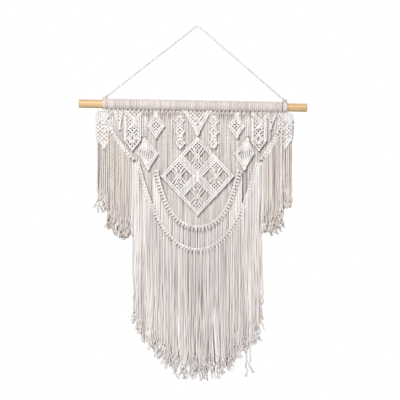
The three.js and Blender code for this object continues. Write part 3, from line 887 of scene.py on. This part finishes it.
def cluster_diamond(place):
    """A rim of two ridges round a cross of ridges, two small nets and plain upright cords."""
    low, high = box(f"diamond_{place}")
    x, z = (low[0] + high[0]) / 2, (low[2] + high[2]) / 2
    half = (high[0] - low[0]) / 2, (high[2] - low[2]) / 2
    cords = Cords()
    rim(cords, kite((x, z), *half), MAIN_Y - 3.2)
    finish_panel(cords, f"diamond_{place}")
    uprights = Cords()
    filling = Cords()
    for sign in (-1, 1):
        near, far = x + sign * 6.5, x + sign * half[0] * 0.86
        reach = half[1] * 0.8
        triangle = [np.array(p) for p in ((near, z + reach), (far, z), (near, z - reach))]
        upright_fill(uprights, triangle, MAIN_Y + 2.2, 3.9, 0.2)
        spot = kite((x, z + sign * half[1] * 0.5), 15, 15)
        lattice(filling, spot, MAIN_Y - 2.4, 6.6, THIN_CORD)
        for side in (-1, 1):
            for shift in (-0.5, 0.5):
                start = (x + side * (15 + shift * 5), z + sign * (20 - shift * 6))
                end = (x + side * (1 + shift * 3.2), z - sign * shift * 2.6)
                ridge(filling, start, end, MAIN_Y - 3.6, SMALL_RIDGE)
    finish_panel(filling, f"diamond_filling_{place}")
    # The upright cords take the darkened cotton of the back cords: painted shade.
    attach(uprights.make(f"diamond_uprights_{place}", BACK_COTTON_SHADED), "panel")


# --- Swags --------------------------------------------------------------------------------

def swag_line(node, slack):
    """The middle line of a swag as a function from -1 to 1 across."""
    low, high = box(node)
    half = (high[0] - low[0] - SWAG_BAND) / 2
    bottom = low[2] + SWAG_BAND / 2
    top = high[2]
    scale = math.cosh(slack) - 1

    def place(share):
        rise = (top - bottom) * (math.cosh(slack * share) - 1) / scale
        return np.array([share * half, bottom + rise])

    return place


def even_shares(line, pitch, ends=(-1, 1)):
    """Shares along a line that lie a pitch apart."""
    shares = np.linspace(*ends, 400)
    points = np.array([line(s) for s in shares])
    along = np.concatenate([[0], np.cumsum(np.linalg.norm(np.diff(points, axis=0), axis=1))])
    count = max(2, round(along[-1] / pitch))
    return np.interp((np.arange(count) + 0.5) * along[-1] / count, along, shares)


def spot_on(line, share):
    """A point of a line, and the line's direction there, pointing right."""
    here = line(share)
    tangent = unit(line(share + 0.004) - here)
    return here, -tangent if tangent[0] < 0 else tangent


def swag_knots(cords, line, y, ends=(-1, 1)):
    """Lark's heads side by side on a carrier cord: two turns each, and the bight over them."""
    radius = 2.5
    look = {"diameter": SWAG_CORD, "lobe": 0, "lay": 0, "drawn_lay": LAY / 2}
    for share in even_shares(line, HEAD, ends):
        here, tangent = spot_on(line, share)
        across = np.array([-tangent[1], tangent[0]])
        here = here + across * 1.2
        for side in (-1, 1):
            centre = here + tangent * side * HEAD * 0.22
            angle = np.linspace(0.1, 2 * math.pi - 0.1, 13)
            plane = centre + across * (radius * np.cos(angle))[:, None]
            plane = plane + tangent * (side * 0.5 * np.cos(angle))[:, None]
            ring = np.stack([plane[:, 0], y + radius * np.sin(angle), plane[:, 1]], 1)
            cords.add(ring, **look)
        bight = []
        for t in np.linspace(-1, 1, 7):
            spot = here + tangent * t * HEAD * 0.47 + across * (2.2 - 0.8 * t * t)
            bight.append((spot[0], y - 3.4 + 0.9 * t * t, spot[1]))
        cords.add(smooth_path(bight, 1.8), **look)


def swag(node, slack):
    cords = Cords()
    swag_knots(cords, swag_line(node, slack), FRONT_Y)
    finish_panel(cords, node)


def side_swag_line(name, sign):
    """The middle line of a side swag as a function from 0, at its outer end, to 1."""
    low, high = box(f"side_swag_{name}")
    outer = high[0] - 4 if sign > 0 else low[0] + 4
    inner = low[0] + 4 if sign > 0 else high[0] - 4

    def place(share):
        sag = 4 * SIDE_SAG * share * (1 - share)
        return np.array([outer + (inner - outer) * share,
                         high[2] - 3 + (low[2] - high[2] + 6) * share - sag])

    return place


def side_swag(name, sign):
    cords = Cords()
    swag_knots(cords, side_swag_line(name, sign), FRONT_Y, (0, 1))
    finish_panel(cords, f"side_swag_{name}")


# --- Fringe -------------------------------------------------------------------------------

def drift(x, z, top):
    """How far neighbouring strands lean sideways together, more towards their ends."""
    down = max(0.0, top - z) / 300
    lean = (2.4 * math.sin(x * 0.055 + z * 0.009) + 1.5 * math.sin(x * 0.13 - z * 0.014 + 2)
            + 0.9 * math.sin(x * 0.31 + z * 0.02))
    shift = lean * down
    for place, start, width in PARTINGS:
        if z < start + PARTING_START:
            grown = min(1.0, (start + PARTING_START - z) / PARTING_START)
            near = math.exp(-abs(x - place) / 9)
            shift += math.copysign(width * grown * near, x - place)
    return shift


def loose_end(cords, start, direction, length):
    """The last stretch of a strand, where its plies have come apart."""
    for ply in range(PLIES):
        phase = 2 * math.pi * ply / PLIES + rng.uniform(-0.5, 0.5)
        curl = rng.uniform(0.5, 1.4)
        reach = length * rng.uniform(0.7, 1.15)
        points = []
        for t in np.linspace(0, 1, 8):
            spread = 0.9 + 2.3 * t * curl
            angle = phase + 7.0 * t * curl
            points.append((start[0] + direction[0] * reach * t + spread * math.cos(angle),
                           start[1] + 0.6 * spread * math.sin(angle),
                           start[2] - reach * t))
        cords.add(smooth_path(points, 2.2), CORD * 0.62, sides=6, lobe=0, lay=0, ends=(1, 0.8))


def strand(cords, x, y, top, bottom, wave=1.0, start=(), forward=0.0):
    """One hanging cord with a slight wave, kinked towards its loose end.

    It may begin with the points in start, and it hangs back from a first place forward of y.
    """
    end = bottom + rng.uniform(7, 16)
    phase, other, kink = (rng.uniform(0, 6.28) for _ in range(3))
    length, kink_length = rng.uniform(80, 150), rng.uniform(22, 36)
    points = []
    bend = end + KINKED_LENGTH
    places = list(np.linspace(top, bend, max(3, int((top - bend) / 24) + 1)))
    places += list(np.linspace(bend, end, 10))[1:]
    for z in places:
        down = min(1.0, (top - z) / 160)
        near_end = max(0.0, 1 - (z - end) / 50)
        sway = wave * 0.8 * down * math.sin(2 * math.pi * z / length + phase)
        sway += wave * 3.6 * near_end * math.sin(2 * math.pi * z / kink_length + kink)
        depth = wave * (0.7 * down + 1.3 * near_end) * math.sin(2 * math.pi * z / 70 + other)
        lead = forward * max(0.0, 1 - (top - z) / LEAD_LENGTH)
        points.append((x + sway + drift(x, z, top), y + depth - lead, z))
    path = smooth_path([*start, *points], 4)
    cords.add(path)
    loose_end(cords, path[-1], unit(path[-1] - path[-3]), end - bottom)


def swag_fringe(cords, line, ends, bottom, y, ragged=7):
    """Strands that hang from a swag's lark's heads, two from each, nearer ones in front."""
    for k, share in enumerate(even_shares(line, HEAD, ends)):
        here, tangent = spot_on(line, share)
        below = np.array([tangent[1], -tangent[0]])
        for side in (-1, 1):
            legs = [here + tangent * side * 1.3 + below * reach for reach in (0, 4, 6.5)]
            start = [(leg[0], FRONT_Y - 1.2, leg[1]) for leg in legs]
            x = legs[-1][0] + side * (tangent[0] * HEAD * 0.25 - 1.3) + rng.uniform(-0.5, 0.5)
            layer = y + ((2 * k + (side > 0)) % 3 - 1) * 2.2
            strand(cords, x, layer, legs[-1][1] - 8, bottom(x) + rng.uniform(-ragged, ragged),
                   start=start)


def row_fringe(cords, low, high, top, bottom, y, ragged=9, pitch=PITCH, wave=1.0, forward=0.0,
               jitter=0.7):
    """Strands side by side from one x to another."""
    count = max(1, round(abs(high - low) / pitch))
    for k in range(count):
        x = low + (high - low) * (k + 0.5) / count + rng.uniform(-jitter, jitter)
        strand(cords, x, y + (k % 2 - 0.5) * 1.8, top(x),
               bottom(x) + rng.uniform(-ragged, ragged), wave, forward=forward)


def finish_fringe(cords, name, joint_name, body, *nodes, material=FRINGE_COTTON):
    """Makes a fringe of one piece, with its place baked into the mesh, and hides its CAD nodes."""
    piece = cords.make(name, material)
    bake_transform(piece)
    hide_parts(*nodes)


LOWER_LOCKS = [(box(node)[1][0], lower_edge(node))
               for node in ("outer_fringe_left", "outer_fringe_centre", "outer_fringe_right")]


def lower_bottom(x):
    """The lower fringe's edge, from the three locks' plates."""
    for reach, edge in LOWER_LOCKS:
        if x <= reach + 1.5:
            break
    return edge(x) - LOWER_SKEW * x


def outer_fringe():
    line = swag_line("outer_swag", OUTER_SLACK)
    for name, ends, nodes in (
        ("left", (-1, -0.28), ("outer_fringe_left", "outer_fringe_top_left")),
        ("centre", (-0.28, 0.28), ("outer_fringe_centre",)),
        ("right", (0.28, 1), ("outer_fringe_right", "outer_fringe_top_right")),
    ):
        cords = Cords()
        swag_fringe(cords, line, ends, lower_bottom, FRONT_Y + 1)
        for x, extra in STRAYS:
            share = x / line(1)[0]
            if ends[0] < share < ends[1]:
                strand(cords, x, FRONT_Y - 1, line(share)[1] - 2, lower_bottom(x) - extra)
        sign = SIDES.get(name)
        if sign:
            edge_x, edge_z = line(sign)
            row_fringe(cords, edge_x + sign * 2, edge_x + sign * 14, lambda x: edge_z + 14,
                       lower_bottom, MAIN_Y)
        finish_fringe(cords, f"outer_fringe_{name}_cords", "lower_fringe_swing", "lower_fringe",
                      *nodes)


def inner_fringe():
    line = swag_line("inner_swag", INNER_SLACK)
    cords = Cords()
    swag_fringe(cords, line, (-1, 1), lambda x: lower_bottom(x) + 22, MAIN_Y - 1.5, 16)
    finish_fringe(cords, "inner_fringe_cords", "lower_fringe_swing", "lower_fringe",
                  "inner_fringe", "inner_fringe_top", material=INNER_COTTON_LIT)


def back_fringe():
    """The plain cords: from the dowel, behind everything, down into the fringe."""
    cords = Cords()
    reach = box("back_cords_right")[1][0]
    row_fringe(cords, -reach, reach, lambda x: axis_height(x) - PLAIN_TOP,
               lambda x: lower_bottom(x) + 30, BACK_Y - 1.5, ragged=18, pitch=BACK_PITCH,
               wave=0.4, forward=LEAD, jitter=0.25)
    finish_fringe(cords, "back_fringe_cords", "lower_fringe_swing", "lower_fringe",
                  "back_fringe", "back_cords_centre", "back_cords_left", "back_cords_right",
                  material=BACK_COTTON_SHADED)


def side_cords(name):
    """The plain cords behind the nets at the sides, which end at the swags."""
    node = f"side_cords_{name}"
    low, high = box(node)
    bottom = lower_edge(node)
    cords = Cords()
    count = round((high[0] - low[0]) / BACK_PITCH)
    for k in range(count):
        x = low[0] + (high[0] - low[0]) * (k + 0.5) / count
        top = min(axis_height(x) - PLAIN_TOP, high[2] + 1)
        phase = rng.uniform(0, 6.28)
        y = BACK_Y - 1.5 + (k % 2 - 0.5) * 2
        points = [(x + 0.3 * math.sin(z * 0.05 + phase),
                   y - LEAD * max(0.0, 1 - (top - z) / LEAD_LENGTH), z)
                  for z in np.linspace(top, bottom(x) - 3, 8)]
        cords.add(smooth_path(points, 4))
    finish_panel(cords, node, BACK_COTTON_SHADED, "strands")


def side_fringe(name, sign):
    short, long = f"side_fringe_short_{name}", f"side_fringe_long_{name}"
    edges = {node: lower_edge(node) for node in (short, long)}
    split = box(short)[0][0] if sign > 0 else box(short)[1][0]
    net = Cell(f"outer_net_{name}", sign)

    def bottom(x):
        if (x - split) * sign > 0:
            return edges[short](x)
        return edges[long](x) + SIDE_SHORTFALL[sign]

    def top(x):
        return net(0.5, 0.8)[1] if (x - split) * sign > -6 else net(0.5, 1.0)[1] - 20

    cords = Cords()
    swag_fringe(cords, side_swag_line(name, sign), (0, 1), bottom, FRONT_Y + 1)
    low, high = box(f"side_fringe_top_{name}")
    row_fringe(cords, low[0] + 1, high[0] - 1, top, bottom, MAIN_Y - 1)
    row_fringe(cords, low[0] + 3, high[0] - 3, lambda x: top(x) - 4, bottom, MAIN_Y + 3, 14)
    finish_fringe(cords, f"side_fringe_{name}_cords", f"{name}_fringe_swing", f"{name}_fringe",
                  short, long, f"side_fringe_top_{name}", material=SIDE_COTTON)


# --- Everything together ------------------------------------------------------------------

add_camera()
hanger_cord()
add_studio()
dowel()
for side_name in SIDES:
    hanger_knot(f"hanger_knot_{side_name}")
for node_name in sorted(n for n in frame["nodes"] if n.startswith("larks_heads")):
    larks_heads(node_name)
for side_name, side_sign in SIDES.items():
    outer_net(side_name, side_sign)
    triangle_net(side_name, side_sign)
    net_column(side_name, side_sign)
    small_diamond(side_name, side_sign)
    stem(side_name, side_sign)
    leaf_diamond(side_name, side_sign)
    knot_chain(side_name, side_sign)
    side_swag(side_name, side_sign)
    side_cords(side_name)
    side_fringe(side_name, side_sign)
centre_net()
for diamond_place in ("top", "left", "right", "bottom"):
    cluster_diamond(diamond_place)
swag("inner_swag", INNER_SLACK)
swag("outer_swag", OUTER_SLACK)
outer_fringe()
inner_fringe()
back_fringe()
